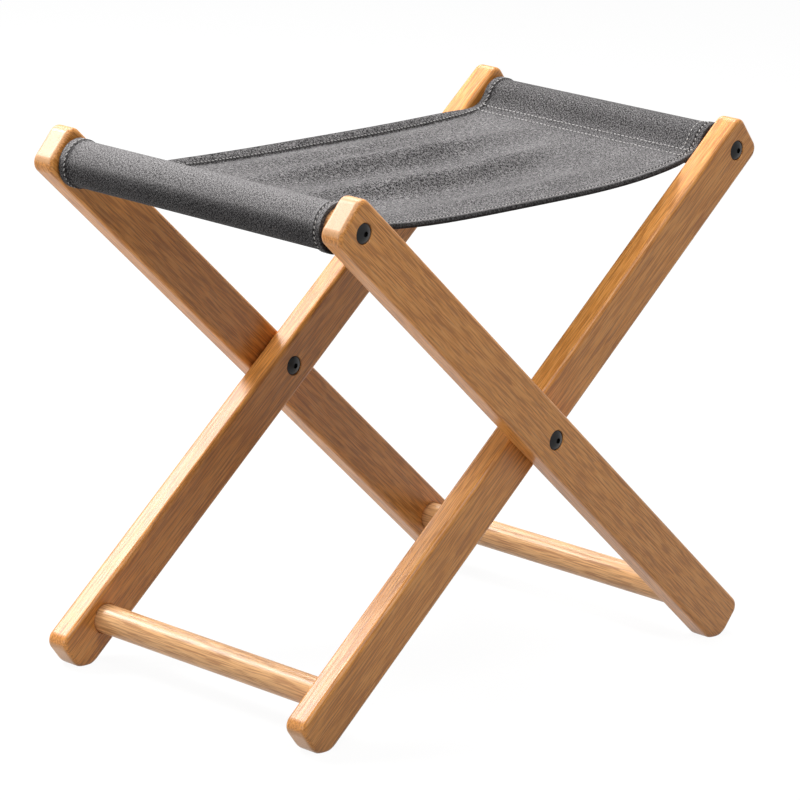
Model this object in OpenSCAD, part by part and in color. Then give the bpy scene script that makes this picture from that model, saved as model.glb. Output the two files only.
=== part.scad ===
// Folding stool: two crossed wooden frames that turn on a pair of pivot bolts,
// with a sewn cloth seat slung between the two top rails.
// Millimetres. Z is up, X runs from rail to rail and Y runs along the rails.
// The origin is on the floor, under the middle of the pivot line.
// The outer frame has its top rail at -X. The inner frame stands between its
// legs and has its top rail at +X. The stool is drawn open.

/* [Legs] */
// Width of a leg, seen from the side of the stool
leg_w = 40; // [36:1:44]
// Thickness of a leg
leg_t = 20; // [18:0.5:24]
// Leg length from the pivot line to the top end
leg_up = 316; // [290:1:340]
// Leg length from the pivot line to the foot end
leg_down = 304; // [280:1:330]
// Slope of a leg above the floor when the stool is open
open_angle = 40; // [37:0.5:44]
// Radius of the corners at a leg's ends
corner_r = 9; // [6:0.5:10]
// Radius of the heel, the corner that stands on the floor
heel_r = 18; // [14:1:22]
// Length of the flat that the floor needs on that heel
foot_flat = 15; // [8:0.5:18]
// Radius along a leg's edges
edge_r = 3.5; // [1:0.5:4]
// Gap between an outer leg and the inner leg beside it
leg_gap = 1; // [0.6:0.1:3]

/* [Frame] */
// Width of the stool over the outer faces of the outer legs
stool_w = 312; // [260:1:360]
// Distance from a leg's top end to the centre of its top rail
rail_margin = 20; // [18:1:30]
// Distance from a leg's foot end to the centre of its stretcher
stretcher_margin = 43; // [38:1:70]
// Diameter of a top rail
rail_d = 30; // [26:1:32]
// Depth that a top rail enters a leg
rail_in = 5; // [3:0.5:7]
// Diameter of a stretcher
stretcher_d = 23; // [18:0.5:26]
// Depth that a stretcher enters a leg
stretcher_in = 14; // [8:0.5:16]
// Radial clearance of a rail or stretcher in its socket
socket_play = 0.15; // [0.05:0.05:0.4]
// Clearance left at the bottom of a blind socket or counterbore
end_play = 0.3; // [0.1:0.1:0.6]
// Chamfer at the mouth of a stretcher socket
mouth_chamfer = 0.6; // [0.2:0.1:1.2]

/* [Bolts] */
// Diameter of a bolt head
head_d = 15; // [12:0.5:18]
// Height of a bolt head's straight rim
head_rim = 0.6; // [0.4:0.1:1.2]
// Height of the dome on a bolt head
head_dome = 2.4; // [1.5:0.1:3]
// Depth that a bolt head is let into the wood
head_sink = 1.4; // [0.8:0.1:2]
// Radial clearance round a sunk bolt head
head_play = 0.4; // [0.2:0.05:0.8]
// Chamfer at the rim of a bolt head's recess
recess_chamfer = 0.5; // [0.2:0.1:1]
// Width across the flats of the hexagon socket
hex_w = 4; // [3:0.5:5]
// Depth of the hexagon socket
hex_depth = 2.2; // [1:0.1:2.4]
// Diameter of a bolt's shank
bolt_d = 6; // [5:0.5:7]
// Length of a rail bolt under its head
rail_bolt_l = 40; // [34:1:45]
// Length of a pivot bolt under its head
pivot_bolt_l = 33; // [28:1:34]
// Radial clearance of a bolt in the wood
hole_play = 0.25; // [0.1:0.05:0.5]
// Radial clearance of a bolt in its threaded metal
thread_play = 0.05; // [0.02:0.01:0.08]

/* [Pivot] */
// Diameter of the pivot nut's sleeve, which the inner leg turns on
sleeve_nut_d = 9; // [8.4:0.1:10]
// Length of the pivot nut's sleeve under its head
sleeve_nut_l = 28; // [27:0.5:32]
// Running clearance of the inner leg on the sleeve, radial
pivot_play = 0.05; // [0.02:0.01:0.09]
// End clearance of the turning pieces, on each side
side_play = 0.05; // [0.02:0.01:0.1]
// Outer diameter of the washer between the legs
washer_d = 18; // [14:0.5:24]
// Solid metal left at the closed end of a pivot nut
nut_floor = 1.5; // [1:0.1:2]

/* [Rail inserts] */
// Outer diameter of a threaded insert
insert_d = 9.5; // [8.8:0.1:11]
// Length of a threaded insert
insert_l = 15; // [10:0.5:20]
// Radial clearance of an insert in the rail
insert_play = 0.1; // [0.05:0.05:0.2]
// Room beyond the tip of a rail bolt
tip_room = 1.6; // [0.5:0.1:4]

/* [Seat] */
// Thickness of the seat cloth
cloth_t = 1.4; // [0.8:0.1:1.8]
// Room between the cloth and the top of a rail
cloth_gap = 0.25; // [0.2:0.05:0.4]
// How far a sleeve hangs down under its rail, beyond the room at the top
sleeve_slack = 1.9; // [1:0.1:3]
// Gap between the seat's inner sleeve and the legs beside it
seat_gap = 2; // [1:0.5:5]
// Gap between the outer sleeve and the outer legs, mean of both ends
outer_sleeve_gap = 3; // [1.5:0.5:6]
// How far the outer sleeve sits off centre along its rail
sleeve_shift = 1.5; // [0:0.1:1.5]
// Inboard distance from a rail's centre to the tip of its sleeve
tip_in = 20; // [19:0.5:24]
// Height of that tip below the rail's centre
tip_drop = 3.6; // [2:0.2:6]
// Width of the sewn band where the two layers of a sleeve meet
band_w = 12; // [8:0.5:16]
// Slope of the sewn band
band_slope = 20; // [10:1:30]
// Depth of the seat's middle below the rail centres
seat_drop = 14.8; // [12:0.2:24]
// How much lower the seat's near edge hangs than its middle
edge_drop = 3.2; // [0:0.2:6]
// Sharpness of the seat's sag towards the rails
sag_power = 3.5; // [2:0.5:6]
// Width of the hem along a free edge
hem_w = 8; // [5:0.5:12]
// Thickness of that hem
hem_t = 3; // [2:0.2:4]
// Height of the soft wrinkles that run from rail to rail
wrinkle_h = 1.2; // [0:0.1:2]
// Number of those wrinkles across the seat
wrinkle_count = 4; // [2:1:5]
// Gap between the seat panel and each sleeve's sewn band
panel_gap = 0.3; // [0.2:0.1:1]

/* [Hidden] */

$fn = 64;
// How far a cutter reaches past the face that it cuts
over = 1;
eps = 0.01;

wood = [0.80, 0.58, 0.36];
dowel_wood = [0.86, 0.66, 0.45];
black_metal = [0.06, 0.06, 0.065];
zinc = [0.62, 0.62, 0.60];
brass = [0.72, 0.58, 0.30];
charcoal = [0.22, 0.22, 0.23];

// Faces of the legs, as distances from the middle of the stool
outer_face = stool_w / 2;
outer_inside = outer_face - leg_t;
inner_face = outer_inside - leg_gap;
inner_inside = inner_face - leg_t;

// The floor cuts a heel above the sharp corner that its arc stands in for
arc_lift = heel_r * (sin(open_angle) + cos(open_angle) - 1);
foot_cut = arc_lift + heel_r - sqrt(pow(heel_r, 2) - pow(foot_flat / 2, 2));

// Height of the pivot line over the floor, and where a top rail lies
pivot_h = leg_down * sin(open_angle) + leg_w / 2 * cos(open_angle) - foot_cut;
rail_at = leg_up - rail_margin;
stretcher_at = leg_down - stretcher_margin;
rail_x = rail_at * cos(open_angle);
rail_z = pivot_h + rail_at * sin(open_angle);
rail_r = rail_d / 2;

// Bores that follow from the hardware
bolt_hole_r = bolt_d / 2 + hole_play;
thread_hole_r = bolt_d / 2 + thread_play;
head_recess_r = head_d / 2 + head_play;
pivot_bore_r = sleeve_nut_d / 2 + pivot_play;
counterbore_r = sleeve_nut_d / 2 + hole_play;
nut_tip = inner_inside + head_sink - side_play + sleeve_nut_l;

// Sleeve of the seat in its own section: U points inboard and V points up
sleeve_in_r = rail_r + cloth_gap + sleeve_slack / 2;
sleeve_out_r = sleeve_in_r + cloth_t;
sleeve_v = -sleeve_slack / 2;
tip = [tip_in, -tip_drop];
band_dir = [cos(band_slope), -sin(band_slope)];
band_end = tip + band_w * band_dir;
outer_sleeve_y = outer_inside - outer_sleeve_gap;
panel_y = inner_inside - seat_gap;
panel_x = rail_x - band_end[0];
taper_start = tip_in / 2;

// How far the wrinkles run askew, in degrees of their own wave, and the power with
// which they fade towards the free edges
wrinkle_skew = 40;
wrinkle_fade = 4;

// Grid of the seat panel
panel_cols = 20;
hem_steps = 2;
panel_rows = 22;

// Both frames are drawn in the plane of a leg: X along the leg towards its top,
// Y across it and Z out towards the near side of the stool.
module inner_plane() {
    translate([0, 0, pivot_h]) rotate([90, 0, 0]) rotate([0, 0, open_angle]) children();
}

module outer_plane() {
    mirror([1, 0, 0]) inner_plane() children();
}

// The far side is the near side seen in a mirror
module on_side(side) {
    if (side > 0) children();
    else mirror([0, 0, 1]) children();
}

// Directions of a board's four sides, counterclockwise from the side at the lowest Y
SIDES = [[1, 0], [0, 1], [-1, 0], [0, -1]];

// Half section through a board's edge, from depth 0 inside the board to its side
module edge_section(depth, t, r) {
    square([depth - r, t]);
    translate([0, r]) square([depth, t - 2 * r]);
    translate([depth - r, r]) circle(r);
    translate([depth - r, t - r]) circle(r);
}

// Point at depth d inside side i of a board, level with the end of that side's corner
function beside(p, radii, i, d) = p[i] + radii[i] * SIDES[i] + d * SIDES[(i + 1) % 4];
function before(p, radii, i, d) = p[i] + d * SIDES[i] + radii[i] * SIDES[(i + 1) % 4];

// Board from x_low to x_high with rounded edges and a radius for each corner. Its
// sides and corners are separate pieces that overlap a flat core.
module rounded_board(x_low, x_high, w, t, radii, edge) {
    p = [[x_low, -w / 2], [x_high, -w / 2], [x_high, w / 2], [x_low, w / 2]];
    rim = min(radii);
    core = (edge + rim) / 2;
    linear_extrude(t)
        polygon([for (i = [0:3]) each [before(p, radii, i, core), beside(p, radii, i, core)]]);
    for (i = [0:3]) {
        centre = beside(p, radii, i, radii[i]);
        start = beside(p, radii, i, rim);
        end = before(p, radii, (i + 1) % 4, rim);
        translate([centre[0], centre[1], 0]) rotate([0, 0, 180 + 90 * i])
            rotate_extrude(angle = 90) edge_section(radii[i], t, edge);
        translate([start[0], start[1], 0]) rotate([0, 0, 90 * i - 90])
            rotate([90, 0, 0]) mirror([0, 0, 1]) linear_extrude(norm(end - start)) edge_section(rim, t, edge);
    }
}

// Recess for a sunk head, cut from a face at height z downwards
module head_recess(z) {
    translate([0, 0, z - head_sink]) cylinder(r = head_recess_r, h = head_sink + over);
    translate([0, 0, z - recess_chamfer])
        cylinder(r1 = head_recess_r, r2 = head_recess_r + recess_chamfer + eps, h = recess_chamfer + eps);
}

// Socket for a round end, cut from an inner face at height z upwards
module round_socket(z, r, depth, chamfer) {
    translate([0, 0, z - over]) cylinder(r = r, h = depth + over);
    if (chamfer > 0)
        translate([0, 0, z - eps]) cylinder(r1 = r + chamfer + eps, r2 = r, h = chamfer + eps);
}

// A leg between its inner and outer face, with what both kinds of leg have
module leg_blank(inside, outside) {
    difference() {
        translate([0, 0, inside])
            rounded_board(-leg_down, leg_up, leg_w, leg_t, [heel_r, corner_r, corner_r, corner_r], edge_r);
        translate([rail_at, 0, 0]) {
            head_recess(outside);
            translate([0, 0, inside]) cylinder(r = bolt_hole_r, h = leg_t);
            round_socket(inside, rail_r + socket_play, rail_in + end_play, 0);
        }
        translate([-stretcher_at, 0, 0])
            round_socket(inside, stretcher_d / 2 + socket_play, stretcher_in + end_play, mouth_chamfer);
    }
}

// Takes away what reaches below the floor
module stood_on_floor() {
    difference() {
        children();
        translate([-leg_down, -stool_w, -leg_w]) cube([2 * leg_down, 2 * stool_w, leg_w]);
    }
}

module outer_leg(side) {
    counterbore_l = nut_tip + end_play - outer_inside;
    color(wood) stood_on_floor() outer_plane() on_side(side) difference() {
        leg_blank(outer_inside, outer_face);
        head_recess(outer_face);
        translate([0, 0, outer_inside]) cylinder(r = bolt_hole_r, h = leg_t);
        translate([0, 0, outer_inside - over]) cylinder(r = counterbore_r, h = counterbore_l + over);
    }
}

module inner_leg(side) {
    color(wood) stood_on_floor() inner_plane() on_side(side) difference() {
        leg_blank(inner_inside, inner_face);
        mirror([0, 0, 1]) head_recess(-inner_inside);
        translate([0, 0, inner_inside]) cylinder(r = pivot_bore_r, h = leg_t + over);
    }
}

// Domed head with a hexagon socket. Its underside is at height 0.
module domed_head() {
    dome_r = (pow(head_d / 2, 2) + pow(head_dome, 2)) / (2 * head_dome);
    difference() {
        union() {
            cylinder(d = head_d, h = head_rim);
            intersection() {
                translate([0, 0, head_rim + head_dome - dome_r]) sphere(dome_r);
                translate([0, 0, head_rim]) cylinder(d = head_d, h = head_dome + over);
            }
        }
        translate([0, 0, head_rim + head_dome - hex_depth])
            cylinder(d = hex_w / cos(30), h = hex_depth + over, $fn = 6);
    }
}

// Bolt with its head's underside at height 0 and its shank below
module bolt(length) {
    domed_head();
    translate([0, 0, -length]) cylinder(d = bolt_d, h = length + head_rim / 2);
}

module pivot_bolt(side) {
    color(black_metal) outer_plane() on_side(side)
        translate([0, 0, outer_face - head_sink]) bolt(pivot_bolt_l);
}

// Sleeve nut: the inner leg turns on its sleeve, and the pivot bolt screws into it
module pivot_nut(side) {
    under_head = inner_inside + head_sink - side_play;
    color(black_metal) outer_plane() on_side(side) difference() {
        union() {
            translate([0, 0, under_head]) mirror([0, 0, 1]) domed_head();
            translate([0, 0, under_head - head_rim / 2])
                cylinder(d = sleeve_nut_d, h = sleeve_nut_l + head_rim / 2);
        }
        translate([0, 0, under_head + nut_floor]) cylinder(r = thread_hole_r, h = sleeve_nut_l);
    }
}

module pivot_washer(side) {
    color(zinc) outer_plane() on_side(side) translate([0, 0, inner_face + side_play])
        difference() {
            cylinder(d = washer_d, h = leg_gap - 2 * side_play);
            translate([0, 0, -over]) cylinder(r = counterbore_r, h = leg_gap + 2 * over);
        }
}

// Top rail that reaches into the legs' sockets, bored at both ends for its inserts
module top_rail(inside) {
    end = inside + rail_in;
    insert_hole_l = insert_l + end_play;
    bolt_reach = inside + leg_t - head_sink - rail_bolt_l - tip_room;
    translate([rail_at, 0, 0]) difference() {
        translate([0, 0, -end]) cylinder(r = rail_r, h = 2 * end);
        for (side = [1, -1]) on_side(side) {
            translate([0, 0, end - insert_hole_l])
                cylinder(r = insert_d / 2 + insert_play, h = insert_hole_l + over);
            translate([0, 0, bolt_reach]) cylinder(r = bolt_hole_r, h = end - bolt_reach);
        }
    }
}

module outer_top_rail() {
    color(dowel_wood) outer_plane() top_rail(outer_inside);
}

module inner_top_rail() {
    color(dowel_wood) inner_plane() top_rail(inner_inside);
}

module stretcher(inside) {
    end = inside + stretcher_in;
    translate([-stretcher_at, 0, -end]) cylinder(d = stretcher_d, h = 2 * end);
}

module outer_stretcher() {
    color(dowel_wood) outer_plane() stretcher(outer_inside);
}

module inner_stretcher() {
    color(dowel_wood) inner_plane() stretcher(inner_inside);
}

module rail_bolt(side, outside) {
    on_side(side) translate([rail_at, 0, outside - head_sink]) bolt(rail_bolt_l);
}

module outer_rail_bolt(side) {
    color(black_metal) outer_plane() rail_bolt(side, outer_face);
}

module inner_rail_bolt(side) {
    color(black_metal) inner_plane() rail_bolt(side, inner_face);
}

// Threaded insert, flush with the end of its rail
module rail_insert(side, inside) {
    on_side(side) translate([rail_at, 0, inside + rail_in - insert_l]) difference() {
        cylinder(d = insert_d, h = insert_l);
        translate([0, 0, -over]) cylinder(r = thread_hole_r, h = insert_l + 2 * over);
    }
}

module outer_rail_insert(side) {
    color(brass) outer_plane() rail_insert(side, outer_inside);
}

module inner_rail_insert(side) {
    color(brass) inner_plane() rail_insert(side, inner_inside);
}

// Point where a line from point p touches a circle of radius r round the sleeve's centre
function touch(p, r, sign) =
    let (d = p - [0, sleeve_v], turn = atan2(d[1], d[0]) + sign * acos(r / norm(d)))
    [r * cos(turn), sleeve_v + r * sin(turn)];

// Round loop that runs out to a point
module drop_outline(r, p) {
    translate([0, sleeve_v]) circle(r);
    polygon([[0, sleeve_v], touch(p, r, -1), p, touch(p, r, 1)]);
}

// Loop of cloth round a rail, closed by the sewn band on its inboard side
module sleeve_section() {
    centre = [0, sleeve_v];
    inner_tip = centre + (tip - centre) * sleeve_in_r / sleeve_out_r;
    across = [-band_dir[1], band_dir[0]] * cloth_t;
    end_rise = [0, cloth_t / cos(band_slope)];
    difference() {
        union() {
            drop_outline(sleeve_out_r, tip);
            polygon([inner_tip - across, band_end - end_rise, band_end + end_rise, inner_tip + across]);
        }
        drop_outline(sleeve_in_r, inner_tip);
    }
}

// Sleeve along Y from y_low to y_high, round the rail at +X
module sleeve(y_low, y_high) {
    translate([rail_x, y_high, rail_z]) mirror([1, 0, 0]) rotate([90, 0, 0])
        linear_extrude(y_high - y_low) sleeve_section();
}

// The outer sleeve is longer than the seat panel, so its band tapers at both ends
module outer_sleeve() {
    y_low = -outer_sleeve_y + sleeve_shift;
    y_high = outer_sleeve_y + sleeve_shift;
    x_taper = rail_x - taper_start;
    color(charcoal) mirror([1, 0, 0]) intersection() {
        sleeve(y_low, y_high);
        translate([0, 0, rail_z - rail_d]) linear_extrude(2 * rail_d) polygon([
            [rail_x + rail_d, y_low], [rail_x + rail_d, y_high], [x_taper, y_high],
            [panel_x, panel_y], [panel_x - rail_d, panel_y], [panel_x - rail_d, -panel_y],
            [panel_x, -panel_y], [x_taper, y_low]
        ]);
    }
}

module inner_sleeve() {
    color(charcoal) sleeve(-panel_y, panel_y);
}

// Middle surface of the seat panel: a sag between the bands, deeper at the near
// edge than at the far edge, with soft wrinkles that die out at the bands
function panel_height(x, y) =
    let (
        f = x / panel_x,
        middle = -seat_drop + edge_drop * y / panel_y,
        sag = middle + (band_end[1] - middle) * pow(abs(f), sag_power),
        wrinkle = wrinkle_h * (1 - f * f) * cos(360 * wrinkle_count * y / (2 * panel_y) + wrinkle_skew * f)
    )
    rail_z + sag + wrinkle * (1 - pow(y / panel_y, wrinkle_fade));

// Stations across the panel: each hem is a thick strip with a short step down to the cloth
hem_step = hem_t / 2;
inner_rows = panel_rows - 2 * hem_steps;
rows_y = concat(
    [-panel_y, -panel_y + hem_w, -panel_y + hem_w + hem_step],
    [for (k = [1:inner_rows - 1]) (panel_y - hem_w - hem_step) * (2 * k / inner_rows - 1)],
    [panel_y - hem_w - hem_step, panel_y - hem_w, panel_y]
);
rows_t = [for (y = rows_y) abs(y) > panel_y - hem_w - eps ? hem_t : cloth_t];

module seat_panel() {
    nx = panel_cols + 1;
    ny = len(rows_y);
    end_x = panel_x - panel_gap;
    cols_x = [for (i = [0:panel_cols]) end_x * (2 * i / panel_cols - 1)];
    points = [for (s = [1, -1], x = cols_x, j = [0:ny - 1])
        [x, rows_y[j], panel_height(x, rows_y[j]) + s * rows_t[j] / 2]];
    low = nx * ny;
    top_faces = [for (i = [0:nx - 2], j = [0:ny - 2]) each [
        [i * ny + j, i * ny + j + 1, (i + 1) * ny + j],
        [(i + 1) * ny + j, i * ny + j + 1, (i + 1) * ny + j + 1]]];
    low_faces = [for (f = top_faces) [f[2] + low, f[1] + low, f[0] + low]];
    rim = concat(
        [for (i = [0:nx - 1]) i * ny],
        [for (j = [1:ny - 1]) (nx - 1) * ny + j],
        [for (i = [nx - 2:-1:0]) i * ny + ny - 1],
        [for (j = [ny - 2:-1:1]) j]);
    rim_faces = [for (k = [0:len(rim) - 1]) let (a = rim[k], b = rim[(k + 1) % len(rim)]) each [
        [a, b, a + low], [b, b + low, a + low]]];
    color(charcoal) polyhedron(points, concat(top_faces, low_faces, rim_faces));
}

outer_leg(1);  // outer_leg_near
outer_leg(-1);  // outer_leg_far
inner_leg(1);  // inner_leg_near
inner_leg(-1);  // inner_leg_far
outer_top_rail();
inner_top_rail();
outer_stretcher();
inner_stretcher();
pivot_bolt(1);  // pivot_bolt_near
pivot_bolt(-1);  // pivot_bolt_far
pivot_nut(1);  // pivot_nut_near
pivot_nut(-1);  // pivot_nut_far
pivot_washer(1);  // pivot_washer_near
pivot_washer(-1);  // pivot_washer_far
outer_rail_bolt(1);  // outer_rail_bolt_near
outer_rail_bolt(-1);  // outer_rail_bolt_far
inner_rail_bolt(1);  // inner_rail_bolt_near
inner_rail_bolt(-1);  // inner_rail_bolt_far
outer_rail_insert(1);  // outer_rail_insert_near
outer_rail_insert(-1);  // outer_rail_insert_far
inner_rail_insert(1);  // inner_rail_insert_near
inner_rail_insert(-1);  // inner_rail_insert_far
outer_sleeve();
inner_sleeve();
seat_panel();
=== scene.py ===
"""Looks of the folding stool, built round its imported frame.

Metres, Z up. X runs from the outer frame's top rail to the inner frame's, and the near side is at -Y.
"""

import math

import bpy
import numpy as np
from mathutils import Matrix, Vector


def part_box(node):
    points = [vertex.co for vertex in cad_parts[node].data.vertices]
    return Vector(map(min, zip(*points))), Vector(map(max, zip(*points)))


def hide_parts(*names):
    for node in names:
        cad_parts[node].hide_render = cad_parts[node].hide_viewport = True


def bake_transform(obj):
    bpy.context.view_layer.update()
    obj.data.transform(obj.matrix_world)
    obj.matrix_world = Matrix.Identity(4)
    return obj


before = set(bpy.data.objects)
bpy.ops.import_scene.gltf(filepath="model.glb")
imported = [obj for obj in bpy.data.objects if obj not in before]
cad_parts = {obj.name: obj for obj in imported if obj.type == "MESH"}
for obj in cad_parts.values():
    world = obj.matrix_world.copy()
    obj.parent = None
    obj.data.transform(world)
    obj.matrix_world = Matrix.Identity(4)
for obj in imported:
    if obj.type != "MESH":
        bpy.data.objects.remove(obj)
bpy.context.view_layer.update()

MM = 0.001


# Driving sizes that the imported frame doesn't state by itself

# Slope of the legs above the floor
OPEN_ANGLE = math.radians(40)
# Thickness of the cloth
CLOTH_T = 1.4 * MM
# How far a sleeve hangs down under its rail, and the gap between the two all round
SLEEVE_SLACK = 1.9 * MM
RAIL_GAP = 0.25 * MM
# Tip of a sleeve: its distances inboard of its rail's centre and below it
TIP_IN = 20 * MM
TIP_DROP = 3.6 * MM
# Sewn band where the two layers of a sleeve meet
BAND_W = 12 * MM
BAND_SLOPE = math.radians(20)
# Depth of the seat's middle below the rails, how much lower its near edge hangs, and how sharply it sags
SEAT_DROP = 14.8 * MM
EDGE_DROP = 3.2 * MM
SAG_POWER = 3.5
# Inboard distance from the outer rail's centre at which its longer sleeve starts to narrow to the panel
TAPER_IN = 10 * MM
# Hem along a free edge, and the distance from that edge to the row of stitches along it
HEM_W = 8 * MM
HEM_T = 4.4 * MM
STITCH_IN = 6.4 * MM


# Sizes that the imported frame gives

RAIL_LOW, RAIL_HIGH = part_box("inner_top_rail")
RAIL_R = (RAIL_HIGH.z - RAIL_LOW.z) / 2
RAIL_X = (RAIL_HIGH.x + RAIL_LOW.x) / 2
RAIL_Z = (RAIL_HIGH.z + RAIL_LOW.z) / 2
PANEL_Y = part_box("inner_sleeve")[1].y
OUTER_SLEEVE_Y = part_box("outer_sleeve")[0].y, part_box("outer_sleeve")[1].y
PIVOT_Z = (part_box("pivot_bolt_near")[0].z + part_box("pivot_bolt_near")[1].z) / 2
PIVOT = Vector((0, 0, PIVOT_Z))


# Camera

CAMERA_DISTANCE = 3.2
CAMERA_AZIMUTH = math.radians(-48.74)
CAMERA_ELEVATION = math.radians(15.29)
CAMERA_ROLL = math.radians(2.94)
CAMERA_RIGHT = -1.64 * MM
CAMERA_UP = -2.86 * MM
# Lens and sensor in the camera's own millimetres
CAMERA_LENS = 186.26
SENSOR_WIDTH = 36
# Distance beyond which the camera sees nothing
CLIP_END = 50


def away_from_stool(azimuth, elevation):
    """Unit vector that points outwards: azimuth 0 is towards -Y, and it grows towards +X."""
    flat = math.cos(elevation)
    return Vector((math.sin(azimuth) * flat, -math.cos(azimuth) * flat, math.sin(elevation)))


def make_camera():
    """Camera at the photograph's viewing angle, looking at the middle of the pivot line."""
    back = away_from_stool(CAMERA_AZIMUTH, CAMERA_ELEVATION)
    right = Vector((math.cos(CAMERA_AZIMUTH), math.sin(CAMERA_AZIMUTH), 0))
    up = back.cross(right)
    turned_right = right * math.cos(CAMERA_ROLL) + up * math.sin(CAMERA_ROLL)
    turned_up = up * math.cos(CAMERA_ROLL) - right * math.sin(CAMERA_ROLL)
    place = PIVOT + back * CAMERA_DISTANCE + right * CAMERA_RIGHT + up * CAMERA_UP
    camera = bpy.data.objects.new("camera", bpy.data.cameras.new("camera"))
    bpy.context.scene.collection.objects.link(camera)
    camera.data.lens = CAMERA_LENS
    camera.data.sensor_width = SENSOR_WIDTH
    camera.data.clip_end = CLIP_END
    matrix = camera.matrix_world.copy()
    for column, vector in enumerate((turned_right, turned_up, back, place)):
        for row in range(3):
            matrix[row][column] = vector[row]
    camera.matrix_world = matrix
    bpy.context.scene.camera = camera


make_camera()


# Node helpers

class Graph:
    """A material's node tree, with one short method for each kind of node that is used."""

    def __init__(self, name):
        self.material = bpy.data.materials.new(name)
        self.material.use_nodes = True
        self.nodes = self.material.node_tree.nodes
        self.links = self.material.node_tree.links
        self.shader = self.nodes["Principled BSDF"]

    def add(self, kind, **settings):
        node = self.nodes.new(kind)
        for key, value in settings.items():
            setattr(node, key, value)
        return node

    def put(self, socket, value):
        """Links value to socket if it is an output, and otherwise sets it."""
        if isinstance(value, bpy.types.NodeSocket):
            self.links.new(value, socket)
        else:
            socket.default_value = value

    def coordinates(self, output="Object"):
        return self.add("ShaderNodeTexCoord").outputs[output]

    def attribute(self, name, output="Fac"):
        return self.add("ShaderNodeAttribute", attribute_name=name).outputs[output]

    def turned(self, vector, angle):
        """The vector turned about the Y axis."""
        node = self.add("ShaderNodeVectorRotate", rotation_type="Y_AXIS")
        self.put(node.inputs["Vector"], vector)
        self.put(node.inputs["Angle"], angle)
        return node.outputs[0]

    def stretched(self, vector, scale):
        """The vector with each of its numbers times that of scale."""
        node = self.add("ShaderNodeVectorMath", operation="MULTIPLY")
        self.put(node.inputs[0], vector)
        self.put(node.inputs[1], scale)
        return node.outputs[0]

    def parts(self, vector):
        node = self.add("ShaderNodeSeparateXYZ")
        self.put(node.inputs[0], vector)
        return node.outputs

    def joined(self, x, y, z):
        node = self.add("ShaderNodeCombineXYZ")
        for socket, value in zip(node.inputs, (x, y, z)):
            self.put(socket, value)
        return node.outputs[0]

    def math(self, operation, a, b=0.0):
        node = self.add("ShaderNodeMath", operation=operation)
        self.put(node.inputs[0], a)
        self.put(node.inputs[1], b)
        return node.outputs[0]

    def times(self, a, b):
        return self.math("MULTIPLY", a, b)

    def larger(self, a, b):
        return self.math("MAXIMUM", a, b)

    def noise(self, vector, scale, detail, roughness=0.5, distortion=0.0):
        """Noise of mean about 0.5, with scale in features per metre along X, Y and Z."""
        node = self.add("ShaderNodeTexNoise")
        self.put(node.inputs["Vector"], self.stretched(vector, scale))
        self.put(node.inputs["Scale"], 1.0)
        self.put(node.inputs["Detail"], detail)
        self.put(node.inputs["Roughness"], roughness)
        self.put(node.inputs["Distortion"], distortion)
        return node.outputs["Fac"]

    def ramp(self, value, low, high, to_low=0.0, to_high=1.0):
        """Value mapped smoothly from low..high to to_low..to_high, and held beyond."""
        node = self.add("ShaderNodeMapRange", interpolation_type="SMOOTHSTEP")
        for socket, number in zip(node.inputs[:5], (value, low, high, to_low, to_high)):
            self.put(socket, number)
        return node.outputs[0]

    def mark(self, value, start, full, share):
        """How much of a colour is laid on: nothing where value is at start, and share where it is full."""
        return self.ramp(value, start, full, 0.0, share)

    def mix(self, factor, a, b):
        """Colour a where factor is 0, and colour b where it is 1."""
        node = self.add("ShaderNodeMix", data_type="RGBA")
        self.put(node.inputs[0], factor)
        self.put(node.inputs[6], a)
        self.put(node.inputs[7], b)
        return node.outputs[2]

    def bump(self, height, distance, strength):
        node = self.add("ShaderNodeBump")
        self.put(node.inputs["Height"], height)
        self.put(node.inputs["Distance"], distance)
        self.put(node.inputs["Strength"], strength)
        return node.outputs[0]

    def set(self, **values):
        """Sets or links inputs of the shader, whose names have underscores for spaces here."""
        for key, value in values.items():
            self.put(self.shader.inputs[key.replace("_", " ")], value)


def colour(red, green, blue):
    """A colour given as the screen shows it, from 0 to 255, as the shader wants it."""
    def linear(c):
        c /= 255
        return c / 12.92 if c <= 0.04045 else ((c + 0.055) / 1.055) ** 2.4
    return linear(red), linear(green), linear(blue), 1.0


# Wood

BEECH_PALE = colour(231, 158, 80)
BEECH_DARK = colour(210, 136, 60)
BEECH_FLECK = colour(130, 66, 24)
BEECH_GLINT = colour(242, 185, 120)
BEECH_END = colour(210, 160, 114)
DOWEL_PALE = colour(233, 184, 130)
DOWEL_DARK = colour(219, 162, 106)
WOOD_NOISES = {
    # Features per metre along the grain and in the two directions across it, detail, roughness, distortion
    "bands": ((3.5, 70, 70), 3, 0.5, 0.3),
    "tone": ((2, 14, 14), 2),
    "fibres": ((14, 620, 620), 3, 0.6),
    "pores": ((50, 1500, 1500), 0),
    "flecks": ((34, 700, 700), 0),
    "streaks": ((42, 980, 980), 1),
    "speckle": ((700, 900, 900), 2, 0.6),
}
WOOD_MARKS = {
    # Value of the noise at which the mark starts and at which it is full, and how much colour it lays on
    "bands": (0.30, 0.70, 0.32),
    "tone": (0.30, 0.70, 0.08),
    "fibres": (0.45, 0.75, 0.22),
    "pores": (0.50, 0.60, 0.20),
    "flecks": (0.59, 0.66, 0.48),
    "streaks": (0.51, 0.60, 0.36),
    "glints": (0.47, 0.38, 0.28),
    "speckle": (0.48, 0.68, 0.30),
}
# How far a surface faces along the grain where end grain starts and where it is full
END_GRAIN = 0.75, 0.95
# Two values of the fibres, and the roughness at each
WOOD_ROUGHNESS = 0.3, 0.8, 0.30, 0.40
# Height of the fibres against the dark dashes, and what is left of both on end grain
FIBRE_RELIEF = 0.5
END_RELIEF = 0.25
WOOD_BUMP = 0.05 * MM, 0.6


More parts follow.
